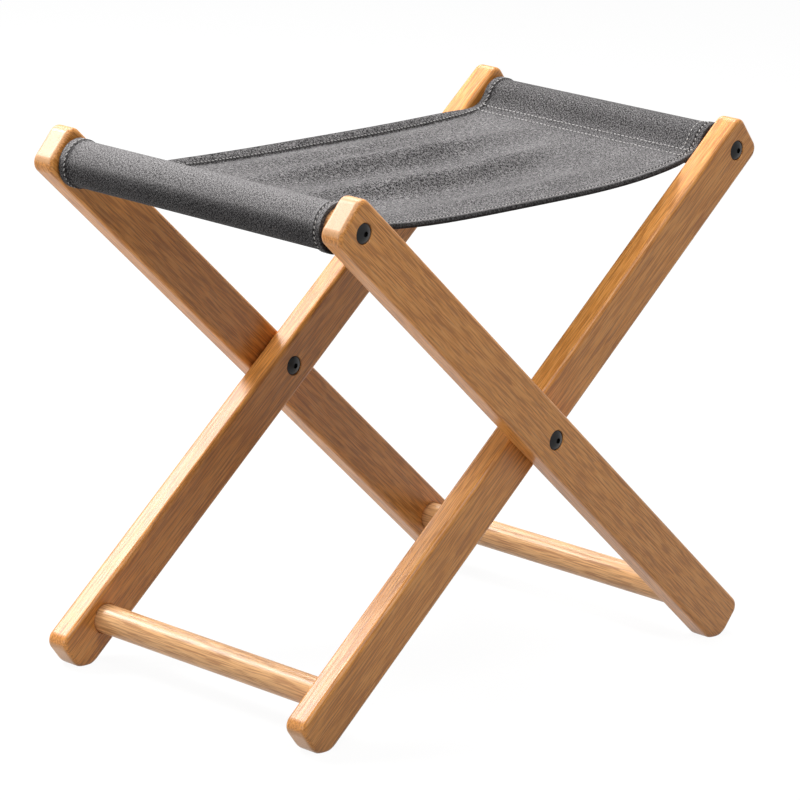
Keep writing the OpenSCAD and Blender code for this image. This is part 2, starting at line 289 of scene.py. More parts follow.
def wood_colour(g, marks, pale, dark):
    """Colour along the grain: broad bands and tone, fine fibres and pores, then dashes and glints."""
    base = g.mix(marks["bands"], pale, dark)
    base = g.mix(marks["tone"], base, dark)
    for key in ("fibres", "pores", "dashes"):
        base = g.mix(marks[key], base, BEECH_FLECK)
    return g.mix(marks["glints"], base, BEECH_GLINT)


def make_wood(name, lengthwise, pale, dark):
    """Wood whose grain runs along X of the vector that lengthwise(graph, vector) gives."""
    g = Graph(name)
    p = lengthwise(g, g.coordinates())
    normal = g.parts(lengthwise(g, g.coordinates("Normal")))
    end_grain = g.ramp(g.math("ABSOLUTE", normal[0]), *END_GRAIN)
    noises = {key: g.noise(p, *settings) for key, settings in WOOD_NOISES.items()}
    noises["glints"] = noises["streaks"]
    marks = {key: g.mark(noises[key], *settings) for key, settings in WOOD_MARKS.items()}
    marks["dashes"] = g.larger(marks["flecks"], marks["streaks"])
    ends = g.mix(marks["speckle"], BEECH_END, BEECH_FLECK)
    relief = g.math("SUBTRACT", g.times(noises["fibres"], FIBRE_RELIEF), marks["dashes"])
    relief = g.times(relief, g.ramp(end_grain, 0, 1, 1, END_RELIEF))
    g.set(
        Base_Color=g.mix(end_grain, wood_colour(g, marks, pale, dark), ends),
        Roughness=g.ramp(noises["fibres"], *WOOD_ROUGHNESS),
        Specular_IOR_Level=0.4,
        Normal=g.bump(relief, *WOOD_BUMP),
    )
    return g.material


def along_leg(sign):
    """Turns the frame's axes so that X runs along the legs of one frame."""
    return lambda g, vector: g.turned(vector, sign * OPEN_ANGLE)


def along_y(g, vector):
    """Swaps X and Y, for the rails and stretchers."""
    x, y, z = g.parts(vector)
    return g.joined(y, x, z)


# Cloth and thread

CANVAS_DARK = colour(17, 16, 17)
CANVAS_MID = colour(70, 68, 69)
CANVAS_LIGHT = colour(168, 165, 165)
# Colour of the painted shade along the free edges and in the grooves of their stitches
CANVAS_PAINTED_SHADE = colour(29, 27, 27)
THREAD_DARK = colour(168, 165, 163)
THREAD_LIGHT = colour(206, 203, 201)
# Distance between the cloth's upper and lower face in the coordinates that its noises use
FACE_SHIFT = 0.1
FACE_SCALE = 50
CANVAS_NOISES = {
    # Features per metre along the cloth, across it and from face to face, and detail
    "grain": ((1400, 1400, FACE_SCALE), 0),
    "warp": ((700, 1700, FACE_SCALE), 0),
    "weft": ((1700, 700, FACE_SCALE), 0),
    "clouds": ((14, 22, 20), 2),
}
# Features per metre along a slub or a streak of the melange, those across it, detail and roughness
SLUBS = 170, 620, 1, 0.5
MELANGE = 380, 1050, 1, 0.6
TWILL_PITCH = 1.7 * MM
TWILL_SHARE = 0.4
CANVAS_MARKS = {
    # Value of the noise at which the mark starts and at which it is full, and how much colour it lays on
    "grain": (0.36, 0.62, 1.0),
    "warp": (0.53, 0.66, 0.6),
    "weft": (0.53, 0.66, 0.5),
    "slubs": (0.58, 0.74, 0.7),
    "light melange": (0.56, 0.70, 0.6),
    "dark melange": (0.52, 0.40, 0.5),
    "clouds": (0.30, 0.70, 0.2),
}
# Marks that only the panel has, and their colours
PANEL_TINTS = ("slubs", CANVAS_LIGHT), ("light melange", CANVAS_LIGHT), ("dark melange", CANVAS_DARK)
# Painted shade: how much darker the sleeves are than the panel
PAINTED_SLEEVE_SHADE = 0.18
# Painted shade: how much darker the faces are that look sideways or down, and how far up a face with no
# such shade looks
PAINTED_UNDERSIDE_SHADE = 0.35
UNDERSIDE_END = 0.3
# Two values of the threads, and the share of pale painted highlight that a sleeve's crest has at each
CREST_HIGHLIGHT = 0.46, 0.64, 0.14, 0.52
# Painted shade in the groove along the stitches of an edge: its shift inwards from them, and its half width
# at start and full
GROOVE_SHIFT = 0.7 * MM
GROOVE_START = 1.9 * MM
GROOVE_FULL = 0.8 * MM
# Painted shade on the roll at the free edge itself: distances from the edge at which it starts and is full
EDGE_START = 2.2 * MM
EDGE_FULL = 1.0 * MM
# Share of the painted shade colour on both lines
EDGE_SHADE = 0.75
# Two values of the grain, and the roughness at each
CANVAS_ROUGHNESS = 0.3, 0.7, 0.82, 0.95
CANVAS_BUMP = 0.17 * MM, 0.8
# Features per metre and detail of the thread's twist
TWIST = (1400, 1400, 1400), 2
THREAD_BUMP = 0.05 * MM, 0.6
# How much darker the stitches along the free edges are than those of the bands
HEM_THREAD_SHADE = 0.15


def crossed(g, p, slow, fast, detail, roughness):
    """The larger of two noises, one drawn out along the cloth and the other across it."""
    along = g.noise(p, (slow, fast, FACE_SCALE), detail, roughness)
    across = g.noise(p, (fast, slow, FACE_SCALE), detail, roughness)
    return g.larger(along, across)


def twill(g, p):
    """Slanting ribs of the weave, from 0 to 1."""
    along, across, _ = g.parts(p)
    diagonal = g.math("SINE", g.times(g.math("ADD", along, across), 2 * math.pi / TWILL_PITCH))
    return g.times(g.math("ADD", diagonal, 1), 0.5)


def woven_colour(g, marks, ribs, panel):
    """Threads of the twill, then the slubs and melange that only the panel has, then broad clouds."""
    base = g.mix(marks["grain"], CANVAS_DARK, CANVAS_MID)
    base = g.mix(g.times(ribs, TWILL_SHARE), base, CANVAS_DARK)
    for key in ("warp", "weft"):
        base = g.mix(marks[key], base, CANVAS_LIGHT)
    for key, tint in PANEL_TINTS:
        base = g.mix(g.times(marks[key], panel), base, tint)
    return g.mix(marks["clouds"], base, CANVAS_DARK)


def paint_edge_shade(g, base):
    """Adds painted shade: dark lines in the groove along the stitches of a free edge and at the edge
    itself.
    """
    edge = g.attribute("edge")
    off_groove = g.math("ABSOLUTE", g.math("SUBTRACT", edge, STITCH_IN + GROOVE_SHIFT))
    base = g.mix(g.mark(off_groove, GROOVE_START, GROOVE_FULL, EDGE_SHADE), base, CANVAS_PAINTED_SHADE)
    return g.mix(g.mark(edge, EDGE_START, EDGE_FULL, EDGE_SHADE), base, CANVAS_PAINTED_SHADE)


def make_canvas():
    """Charcoal melange canvas: a fine twill with light fibres along and across it."""
    g = Graph("canvas")
    p = g.attribute("cloth", "Vector")
    panel = g.attribute("panel")
    ribs = twill(g, p)
    noises = {key: g.noise(p, *settings) for key, settings in CANVAS_NOISES.items()}
    warp, weft = noises["warp"], noises["weft"]
    noises["slubs"] = crossed(g, p, *SLUBS)
    noises["light melange"] = crossed(g, p, *MELANGE)
    noises["dark melange"] = noises["light melange"]
    marks = {key: g.mark(noises[key], *settings) for key, settings in CANVAS_MARKS.items()}
    base = woven_colour(g, marks, ribs, panel)
    # Painted shade on the sleeves
    base = g.mix(g.mark(panel, 1, 0, PAINTED_SLEEVE_SHADE), base, CANVAS_DARK)
    # Painted highlight: pale threads along the sleeves' crests, most on the outer sleeve
    wear_and_highlight = g.times(g.attribute("crest"), g.ramp(g.larger(warp, weft), *CREST_HIGHLIGHT))
    base = g.mix(wear_and_highlight, base, CANVAS_LIGHT)
    # Painted shade on faces that look sideways or down
    base = g.mix(g.mark(g.attribute("upward"), UNDERSIDE_END, 0, PAINTED_UNDERSIDE_SHADE), base, CANVAS_DARK)
    g.set(
        Base_Color=paint_edge_shade(g, base),
        Roughness=g.ramp(noises["grain"], *CANVAS_ROUGHNESS),
        Normal=g.bump(g.math("ADD", ribs, g.math("ADD", warp, weft)), *CANVAS_BUMP),
        Sheen_Weight=0.12,
        Sheen_Roughness=0.32,
        Specular_IOR_Level=0.06,
    )
    return g.material


def make_thread():
    """Light grey sewing thread with a fine twist."""
    g = Graph("thread")
    twist = g.noise(g.coordinates(), *TWIST)
    sewn = g.mix(twist, THREAD_DARK, THREAD_LIGHT)
    g.set(
        Base_Color=g.mix(g.times(g.attribute("hem"), HEM_THREAD_SHADE), sewn, CANVAS_MID),
        Roughness=0.7,
        Normal=g.bump(twist, *THREAD_BUMP),
    )
    return g.material


# Metal

# Patches of wear: features per metre, and their start, full value and share
WEAR_SCALE = 90, 90, 90
WEAR_MARK = 0.55, 0.75, 0.5
# Detail and roughness of both noises of the metals
METAL_NOISE = 3, 0.6
# Two values of the fine grain, between which the roughness changes
METAL_GRAIN = 0.3, 0.7
METAL_BUMP = 0.02 * MM, 0.5


def make_metal(name, tint, wear_and_highlight, metallic, roughness, grain):
    """Metal or coated metal with light wear and a fine grain, given in features per metre."""
    g = Graph(name)
    p = g.coordinates()
    fine = g.noise(p, (grain, grain, grain), *METAL_NOISE)
    patches = g.noise(p, WEAR_SCALE, *METAL_NOISE)
    g.set(
        Base_Color=g.mix(g.mark(patches, *WEAR_MARK), tint, wear_and_highlight),
        Metallic=metallic,
        Specular_IOR_Level=0.3,
        Roughness=g.ramp(fine, *METAL_GRAIN, *roughness),
        Normal=g.bump(fine, *METAL_BUMP),
    )
    return g.material


def make_black_steel():
    tint, wear_and_highlight = colour(9, 9, 10), colour(20, 20, 21)
    return make_metal("black_steel", tint, wear_and_highlight, metallic=0.0, roughness=(0.30, 0.42), grain=2200)


def make_zinc():
    tint, wear_and_highlight = colour(178, 178, 174), colour(140, 140, 136)
    return make_metal("zinc", tint, wear_and_highlight, metallic=1.0, roughness=(0.30, 0.45), grain=1500)


def make_brass():
    tint, wear_and_highlight = colour(196, 160, 88), colour(160, 124, 66)
    return make_metal("brass", tint, wear_and_highlight, metallic=1.0, roughness=(0.28, 0.42), grain=1500)


MATERIALS = {
    "outer_leg": make_wood("beech_outer", along_leg(-1), BEECH_PALE, BEECH_DARK),
    "inner_leg": make_wood("beech_inner", along_leg(1), BEECH_PALE, BEECH_DARK),
    "dowel": make_wood("beech_dowel", along_y, DOWEL_PALE, DOWEL_DARK),
    "black_steel": make_black_steel(),
    "zinc": make_zinc(),
    "brass": make_brass(),
    "canvas": make_canvas(),
    "thread": make_thread(),
}
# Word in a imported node's name, and its material. The seat's nodes hold none of these words.
WORDS = (
    ("outer_leg", "outer_leg"),
    ("inner_leg", "inner_leg"),
    ("top_rail", "dowel"),
    ("stretcher", "dowel"),
    ("washer", "zinc"),
    ("insert", "brass"),
    ("bolt", "black_steel"),
    ("nut", "black_steel"),
)


def dress_frame():
    """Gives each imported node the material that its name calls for."""
    for name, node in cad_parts.items():
        keys = [key for word, key in WORDS if word in name] + ["canvas"]
        node.data.materials.clear()
        node.data.materials.append(MATERIALS[keys[0]])


dress_frame()


# Seat

# Distances between points round a sleeve, between points from rail to rail, and between rows
LOOP_STEP = 2.2 * MM
PANEL_STEP = 3 * MM
ROW_STEP = 4 * MM
# Width of the step from a hem down to the cloth, and how much thicker a sleeve's end is than the cloth
HEM_STEP = 1.2 * MM
SLEEVE_HEM_T = 1.2 * MM
# Rows on a hem: angles round its edge, two places on its flat, and the spacing of those in the groove
ROLL_ANGLES = 0, 25, 50, 75, 90
FLAT_ROWS = 3 * MM, 4.4 * MM
GROOVE_STEP = 0.9 * MM
# Groove that the stitches draw into a hem
STITCH_GROOVE = 0.4 * MM
GROOVE_W = 1 * MM
FOLDS = (
    # Y near the outer rail, in the middle and near the inner rail, height and half width, in millimetres
    (-88, -82, -70, 6, 12),
    (6, -26, 10, 12, 11),
    (54, 38, 52, 12, 11),
    (96, 88, 98, 5, 10),
)
# Mean height of the folds, taken off them so that the seat keeps its depth
FOLD_MEAN = 3 * MM
# Power with which the folds fade towards the free edges
FOLD_FADE = 4
# Share of the way from a band to the middle over which the folds rise, at the inner and the outer band
FOLD_RISE_INNER = 0.7
FOLD_RISE_OUTER = 0.8
# Height and width of the far edge's upward curl
FAR_CURL = 4.5 * MM
FAR_CURL_W = 9 * MM
# Power with which, close to the bands, the curl ends and the cloth rises onto the band's lower layer
END_POWER = 8
# Stations over which the looks of a sleeve pass into those of the panel
LOOK_BLUR = 9
# Softening of the bends: stations on either side, passes, and share of the way in each pass
SOFTEN_REACH = 3
SOFTEN_PASSES = 14
SOFTEN_SHARE = 0.5
# Share of the painted highlight on the inner sleeve's crest, where the outer sleeve's is 1
INNER_CREST_HIGHLIGHT = 0.1
# How far up the cloth looks where a crest's painted highlight starts, and how much further where it is full
CREST_START = -0.15
CREST_RISE = 0.5


def smooth(t):
    """Smooth step from 0 to 1, held beyond."""
    t = np.clip(t, 0, 1)
    return t * t * (3 - 2 * t)


def unit(vector):
    return vector / np.linalg.norm(vector)


def arc_points(centre, radius, start, end, step):
    """Points about a step apart on an arc, from one angle to the other."""
    count = max(2, round(abs(end - start) * radius / step))
    angles = np.linspace(start, end, count + 1)
    return centre + radius * np.stack([np.cos(angles), np.sin(angles)], 1)


def line_points(a, b, step):
    """Points about a step apart from a to b."""
    count = max(2, round(float(np.linalg.norm(b - a)) / step))
    return a + (b - a) * np.linspace(0, 1, count + 1)[:, None]


def loop_path():
    """Middle of the cloth round a rail, from the end of its lower layer over the rail to the end of the
    upper layer. U runs inboard and V up, from the rail's centre. Also gives the number of points up to
    the end of each of its five stretches."""
    centre = np.array([0, -SLEEVE_SLACK / 2])
    radius = RAIL_R + RAIL_GAP + SLEEVE_SLACK / 2 + CLOTH_T / 2
    along = np.array([math.cos(BAND_SLOPE), -math.sin(BAND_SLOPE)])
    up = np.array([math.sin(BAND_SLOPE), math.cos(BAND_SLOPE)]) * CLOTH_T / 2
    tip = np.array([TIP_IN, -TIP_DROP])
    out = tip - centre
    heading = math.atan2(out[1], out[0])
    spread = math.acos(radius / float(np.linalg.norm(out)))
    low_touch = centre + radius * np.array([math.cos(heading - spread), math.sin(heading - spread)])
    top_touch = centre + radius * np.array([math.cos(heading + spread), math.sin(heading + spread)])
    band = along * BAND_W
    pieces = [
        line_points(tip + band - up, tip - up, LOOP_STEP),
        line_points(tip - up, low_touch, LOOP_STEP),
        arc_points(centre, radius, heading - spread, heading + spread - 2 * math.pi, LOOP_STEP),
        line_points(top_touch, tip + up, LOOP_STEP),
        line_points(tip + up, tip + band + up, LOOP_STEP),
    ]
    points = np.concatenate([pieces[0]] + [p[1:] for p in pieces[1:]])
    counts = np.cumsum([len(pieces[0])] + [len(p) - 1 for p in pieces[1:]])
    return points, counts


def fold_height(f, y):
    """Height that the folds add, where f runs from -1 at the outer band to 1 at the inner one."""
    raised = -FOLD_MEAN
    for outer, centre, inner, height, width in FOLDS:
        middle_y = (centre + (inner - outer) / 2 * f + ((inner + outer) / 2 - centre) * f * f) * MM
        raised = raised + height * MM * np.exp(-(((y - middle_y) / (width * MM)) ** 2))
    reach = smooth((1 - f) / FOLD_RISE_INNER) * smooth((1 + f) / FOLD_RISE_OUTER)
    return raised * reach * (1 - np.abs(y / PANEL_Y) ** FOLD_FADE)


def panel_height(x, y, end_x):
    """Middle of the seat panel: a sag between the bands, with soft folds from rail to rail."""
    f = x / end_x
    band_v = -TIP_DROP - BAND_W * math.sin(BAND_SLOPE)
    middle = -SEAT_DROP + EDGE_DROP * y / PANEL_Y
    sag = middle + (band_v - middle) * np.abs(f) ** SAG_POWER
    near_band = np.abs(f) ** END_POWER
    curl = FAR_CURL * smooth(1 - (PANEL_Y - y) / FAR_CURL_W) * (1 - near_band)
    return RAIL_Z + sag + fold_height(f, y) + curl + CLOTH_T / 2 * near_band


def hem_rows():
    """Distances from a free edge at which the cloth has a row of points, across the hem."""
    rounded = [HEM_T / 2 * (1 - math.cos(math.radians(angle))) for angle in ROLL_ANGLES]
    groove = [STITCH_IN - GROOVE_STEP, STITCH_IN, STITCH_IN + GROOVE_STEP]
    return rounded + list(FLAT_ROWS) + groove + [HEM_W, HEM_W + HEM_STEP / 2, HEM_W + HEM_STEP]


def hem_half(d, thick):
    """Half the cloth's thickness at distance d from a free edge, for a hem of the given thickness."""
    roll = thick / 2
    edge = np.sqrt(np.clip(1 - (1 - np.clip(d / roll, 0, 1)) ** 2, 0, 1)) * roll
    groove = STITCH_GROOVE * np.exp(-(((d - STITCH_IN) / GROOVE_W) ** 2))
    flat = CLOTH_T / 2
    return edge - groove * smooth(d / STITCH_IN) + (flat - roll) * smooth((d - HEM_W) / HEM_STEP)


class Sling:
    """Grid of points on the middle of the seat cloth, with stations along the path and rows across it."""

    def __init__(self):
        loop, counts = loop_path()
        self.loop_count = len(loop)
        self.end_x = RAIL_X - loop[-1][0]
        span = np.linspace(-self.end_x, self.end_x, round(2 * self.end_x / PANEL_STEP) + 1)[1:-1]
        x = np.concatenate([-(RAIL_X - loop[:, 0]), span, (RAIL_X - loop[:, 0])[::-1]])
        self.low_y, self.high_y = self.edges(x)
        y = self.row_places()
        self.stations, self.rows = y.shape
        z = self.heights(loop, span, y)
        self.points = np.stack([np.repeat(x[:, None], self.rows, 1), y, z], 2)
        self.soften(counts)
        self.measure()
        self.on_panel = self.panel_share()
        self.edge_distance = self.distance_inwards()
        self.above, self.below = self.halves()

    def edges(self, x):
        """Lowest and highest Y of the cloth at each station: the outer sleeve is longer than the panel."""
        t = smooth((self.end_x + x) / -(RAIL_X - TAPER_IN - self.end_x))
        low = -PANEL_Y + (OUTER_SLEEVE_Y[0] + PANEL_Y) * t
        high = PANEL_Y + (OUTER_SLEEVE_Y[1] - PANEL_Y) * t
        return low, high

    def row_places(self):
        """Y of every point: close rows across the hems, and evenly spaced ones between them."""
        hem = hem_rows()
        inside = hem[-1]
        inner_rows = round(2 * (PANEL_Y - inside) / ROW_STEP)
        middle = np.linspace(0, 1, inner_rows + 1)[1:-1]
        columns = [self.low_y + d for d in hem]
        columns += [self.low_y + inside + (self.high_y - self.low_y - 2 * inside) * m for m in middle]
        columns += [self.high_y - d for d in hem[::-1]]
        return np.stack(columns, 1)

    def heights(self, loop, span, y):
        """Z of every point: round the outer rail, over the panel and round the inner rail."""
        n = self.loop_count
        z = np.zeros_like(y)
        z[:n] = (RAIL_Z + loop[:, 1])[:, None]
        z[-n:] = (RAIL_Z + loop[::-1, 1])[:, None]
        z[n:-n] = panel_height(span[:, None], y[n:-n], self.end_x)
        return z

    def soften(self, counts):
        """Rounds the bends where the layers meet and where the panel starts."""
        weight = np.zeros(self.stations)
        bends = [counts[0] - 1, counts[3] - 1, self.loop_count - 1]
        bends += [self.stations - 1 - b for b in bends]
        for bend in bends:
            weight[max(1, bend - SOFTEN_REACH):bend + SOFTEN_REACH + 1] = 1
        for _ in range(SOFTEN_PASSES):
            shift = (self.points[:-2] + self.points[2:]) / 2 - self.points[1:-1]
            self.points[1:-1] += SOFTEN_SHARE * weight[1:-1, None, None] * shift

    def measure(self):
        """Normals, and the distance along the cloth from its first station."""
        along = np.gradient(self.points, axis=0)
        across = np.gradient(self.points, axis=1)
        normal = np.cross(along, across)
        self.normals = normal / np.linalg.norm(normal, axis=2, keepdims=True)
        steps = np.linalg.norm(np.diff(self.points, axis=0), axis=2)
        self.length = np.concatenate([np.zeros((1, self.rows)), np.cumsum(steps, 0)])
        self.middle_length = self.length[:, self.rows // 2]

    def panel_share(self):
        """How much each station looks like the panel, from 0 on the sleeves to 1."""
        share = np.zeros(self.stations)
        share[self.loop_count:-self.loop_count] = 1
        return smooth(np.convolve(share, np.ones(LOOK_BLUR) / LOOK_BLUR, "same"))

    def distance_inwards(self):
        """Distance of every point from the nearest free edge."""
        y = self.points[:, :, 1]
        return np.minimum(y - self.low_y[:, None], self.high_y[:, None] - y)

    def halves(self):
        """Thickness of the cloth above and below its middle: a sleeve's hem is on its outside only."""
        panel = self.on_panel[:, None]
        full = hem_half(self.edge_distance, HEM_T)
        single = hem_half(self.edge_distance, CLOTH_T + SLEEVE_HEM_T)
        thin = hem_half(self.edge_distance, CLOTH_T)
        above = panel * full + (1 - panel) * (2 * single - thin)
        below = panel * full + (1 - panel) * np.minimum(thin, CLOTH_T / 2)
        return np.maximum(above, 0), np.maximum(below, 0)

    def at(self, length, y, side):
        """Point and normal on the cloth's upper (1) or lower (-1) face, at a distance along it and a Y."""
        i = float(np.interp(length, self.middle_length, np.arange(self.stations)))
        i0 = min(int(i), self.stations - 2)
        t = i - i0
        points = self.points[i0] * (1 - t) + self.points[i0 + 1] * t
        normals = self.normals[i0] * (1 - t) + self.normals[i0 + 1] * t
        half = self.above if side > 0 else self.below
        thick = half[i0] * (1 - t) + half[i0 + 1] * t
        surface = points + side * normals * thick[:, None]
        ys = points[:, 1]
        point = np.array([np.interp(y, ys, surface[:, k]) for k in range(3)])
        normal = side * np.array([np.interp(y, ys, normals[:, k]) for k in range(3)])
        return point, unit(normal)

    def edge_y(self, length, side):
        """Y of the free edge, near (-1) or far (1), at a distance along the cloth."""
        values = self.low_y if side < 0 else self.high_y
        return float(np.interp(length, self.middle_length, values))


def new_object(name, vertices, faces, material):
    """Smooth-shaded mesh object in the scene."""
    mesh = bpy.data.meshes.new(name)
    mesh.from_pydata([tuple(v) for v in vertices], [], faces)
    mesh.update()
    mesh.materials.append(material)
    mesh.polygons.foreach_set("use_smooth", [True] * len(mesh.polygons))
    obj = bpy.data.objects.new(name, mesh)
    bpy.context.scene.collection.objects.link(obj)
    return obj


def set_numbers(obj, name, values):
    """Gives each vertex a number that the materials read by name."""
    attribute = obj.data.attributes.new(name, "FLOAT", "POINT")
    attribute.data.foreach_set("value", np.asarray(values, np.float32))


def set_vectors(obj, name, values):
    """Gives each vertex a vector that the materials read by name."""
    attribute = obj.data.attributes.new(name, "FLOAT_VECTOR", "POINT")
    attribute.data.foreach_set("vector", np.asarray(values, np.float32).ravel())


def skin_faces(n, m):
    """Faces of a closed skin, whose upper n by m points come before as many lower ones."""
    shift = n * m
    last = (n - 1) * m
    faces = []
    for i in range(n - 1):
        for j in range(m - 1):
            a, b, c, d = i * m + j, (i + 1) * m + j, (i + 1) * m + j + 1, i * m + j + 1
            faces.append((a, b, c, d))
            faces.append((d + shift, c + shift, b + shift, a + shift))
    for j in range(m - 1):
        faces.append((j, j + 1, j + 1 + shift, j + shift))
        faces.append((last + j + 1, last + j, last + j + shift, last + j + 1 + shift))
    for i in range(n - 1):
        for j, flip in ((0, False), (m - 1, True)):
            a, b = i * m + j, (i + 1) * m + j
            quad = (a, a + shift, b + shift, b)
            faces.append(quad[::-1] if flip else quad)
    return faces


def set_cloth_looks(obj, sling):
    """What the canvas reads: distance from an edge, panel or sleeve, slope for painted shade, the crests'
    painted highlight and place on it.
    """
    panel = np.repeat(sling.on_panel[:, None], sling.rows, 1)
    upward = sling.normals[:, :, 2]
    # Share of the painted highlight on the crests: full on the outer sleeve, little on the inner one
    wear_and_highlight = (1 - panel) * np.where(sling.points[:, :, 0] < 0, 1, INNER_CREST_HIGHLIGHT)
    for name, over, under in (
        ("edge", sling.edge_distance, sling.edge_distance),
        ("panel", panel, panel),
        ("upward", smooth(upward), smooth(-upward)),
        ("crest", wear_and_highlight * smooth((upward - CREST_START) / CREST_RISE), np.zeros_like(wear_and_highlight)),
    ):
        set_numbers(obj, name, np.concatenate([over.ravel(), under.ravel()]))
    length, y = sling.length, sling.points[:, :, 1]
    faces = [np.stack([length, y, np.full_like(y, place)], 2) for place in (0, FACE_SHIFT)]
    set_vectors(obj, "cloth", np.concatenate(faces))


def make_cloth(sling):
    """Closed skin round the cloth: its upper and lower faces, joined along the free edges and the ends."""
    top = sling.points + sling.normals * sling.above[:, :, None]
    low = sling.points - sling.normals * sling.below[:, :, None]
    vertices = np.concatenate([top.reshape(-1, 3), low.reshape(-1, 3)])
    faces = skin_faces(sling.stations, sling.rows)
    obj = new_object("seat_sling", vertices, faces, MATERIALS["canvas"])
    set_cloth_looks(obj, sling)
    return obj


# Stitches

STITCH_PITCH = 3.9 * MM
STITCH_L = 2.6 * MM
STITCH_W = 0.95 * MM
STITCH_H = 0.8 * MM
# Height of a stitch's middle over the cloth
STITCH_LIFT = 0.2 * MM
# Slant of the stitches along the free edges
STITCH_SLANT = math.radians(20)
STITCH_SIDES = 6
STITCH_RINGS = 5
# Power below 1 that makes a stitch's ends blunt
STITCH_BLUNT = 0.6
# Two rows along a band, from its edge at the sleeve, and how far they stop short of the free edges
BAND_ROWS = 2 * MM, 10.4 * MM
BAND_ROW_SHORT = 2 * MM
# Distance of the row round the inner sleeve's near end from that end
SLEEVE_ROW = 14.4 * MM
# Distance between the points that a row is traced with
ROW_TRACE = STITCH_PITCH / 4


def stitch_form():
    """Points and faces of one stitch along X, in its real size."""
    points, faces = [(-0.5, 0, 0)], []
    for k in range(1, STITCH_RINGS):
        t = -1 + 2 * k / STITCH_RINGS
        r = math.sqrt(1 - t * t) ** STITCH_BLUNT
        for s in range(STITCH_SIDES):
            a = 2 * math.pi * s / STITCH_SIDES
            points.append((t / 2, r * math.cos(a) / 2, r * math.sin(a) / 2))
    points.append((0.5, 0, 0))
    last = len(points) - 1
    for s in range(STITCH_SIDES):
        after = (s + 1) % STITCH_SIDES
        faces.append((0, 1 + after, 1 + s))
        for k in range(STITCH_RINGS - 2):
            base = 1 + k * STITCH_SIDES
            faces.append((base + s, base + after, base + STITCH_SIDES + after, base + STITCH_SIDES + s))
        base = 1 + (STITCH_RINGS - 2) * STITCH_SIDES
        faces.append((base + s, base + after, last))
    return np.array(points) * (STITCH_L, STITCH_W, STITCH_H), faces


def edge_stitching(sling):
    """Slanted rows along both free edges, on the upper face and, between the bands, on the lower face."""
    total = sling.middle_length[-1]
    panel_span = sling.middle_length[sling.loop_count], sling.middle_length[-sling.loop_count]
    rows = []
    for edge in (-1, 1):
        for (start, end), side in (((BAND_W, total - BAND_W), 1), (panel_span, -1)):
            distances = np.arange(start, end, ROW_TRACE)
            line = [(s, sling.edge_y(s, edge) - edge * STITCH_IN) for s in distances]
            rows.append((line, side, -edge * STITCH_SLANT))
    return rows


def band_stitching(sling):
    """Straight rows across the cloth, on both layers of both bands."""
    total = sling.middle_length[-1]
    band_end = sling.middle_length[sling.loop_count - 1]
    rows = []
    for inset in BAND_ROWS:
        upper = band_end - BAND_W + inset
        lower = BAND_W - inset
        for s in (upper, total - upper, lower, total - lower):
            start = sling.edge_y(s, -1) + BAND_ROW_SHORT
            end = sling.edge_y(s, 1) - BAND_ROW_SHORT
            rows.append(([(s, y) for y in np.arange(start, end, ROW_TRACE)], 1, 0))
    return rows


def sleeve_stitching(sling):
    """Straight row round the inner sleeve, close to its near end."""
    total = sling.middle_length[-1]
    band_end = sling.middle_length[sling.loop_count - 1]
    start = total - (band_end - BAND_W + BAND_ROWS[0])
    distances = np.arange(start, total - BAND_W, ROW_TRACE)
    return [([(s, sling.edge_y(s, -1) + SLEEVE_ROW) for s in distances], 1, 0)]


def point_on(points, travelled, distance):
    """Point at a distance along a traced row."""
    return np.array([np.interp(distance, travelled, points[:, k]) for k in range(3)])


def placed_stitch(form, centre, forward, normal, slant):
    """Points of a stitch that lies on the cloth and points forward, turned by its slant."""
    sideways = unit(np.cross(normal, forward))
    forward = forward * math.cos(slant) + sideways * math.sin(slant)
    sideways = unit(np.cross(normal, forward))
    upward = np.cross(forward, sideways)
    points = centre + STITCH_LIFT * normal + form[:, :1] * forward
    return points + form[:, 1:2] * sideways + form[:, 2:] * upward


def stitches_along(sling, form, line, side, slant):
    """Points of each stitch on a line of (distance along the cloth, Y), on one face of the cloth."""
    traced = [sling.at(s, y, side) for s, y in line]
    points = np.array([point for point, _ in traced])
    steps = np.linalg.norm(np.diff(points, axis=0), axis=1)
    travelled = np.concatenate([[0], np.cumsum(steps)])
    for k in range(int(travelled[-1] / STITCH_PITCH)):
        middle = (k + 0.5) * STITCH_PITCH
        start = point_on(points, travelled, middle - STITCH_L / 2)
        end = point_on(points, travelled, middle + STITCH_L / 2)
        centre = point_on(points, travelled, middle)
        normal = traced[int(np.searchsorted(travelled, middle))][1]
        yield placed_stitch(form, centre, unit(end - start), normal, slant)


def make_stitches(sling):
    """All the seat's stitches as one piece, whose vertices say if they belong to a hem."""
    form, form_faces = stitch_form()
    vertices, faces, on_hem = [], [], []
    for line, side, slant in edge_stitching(sling) + band_stitching(sling) + sleeve_stitching(sling):
        for stitch in stitches_along(sling, form, line, side, slant):
            first = len(vertices)
            vertices.extend(stitch)
            faces.extend(tuple(first + i for i in face) for face in form_faces)
            on_hem.extend([float(slant != 0)] * len(form))
    obj = new_object("seat_stitches", vertices, faces, MATERIALS["thread"])
    set_numbers(obj, "hem", on_hem)
    return obj


# Seat as a whole

# Cloth turned in at each free edge of the flat piece
HEM_ALLOWANCE = 16 * MM


def make_seat():
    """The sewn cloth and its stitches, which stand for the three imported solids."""
    sling = Sling()
    cloth = make_cloth(sling)
    stitches = make_stitches(sling)
    for piece in (cloth, stitches):
        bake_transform(piece)
    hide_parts("outer_sleeve", "seat_panel", "inner_sleeve")
    cut_widths = sling.high_y - sling.low_y + 2 * HEM_ALLOWANCE
    area = float(np.sum((cut_widths[1:] + cut_widths[:-1]) / 2 * np.diff(sling.middle_length)))


make_seat()


# Floor and world

WHITE = 1, 1, 1, 1
FLOOR_SIZE = 24.0
FLOOR_GREY = 0.4, 0.4, 0.4, 1
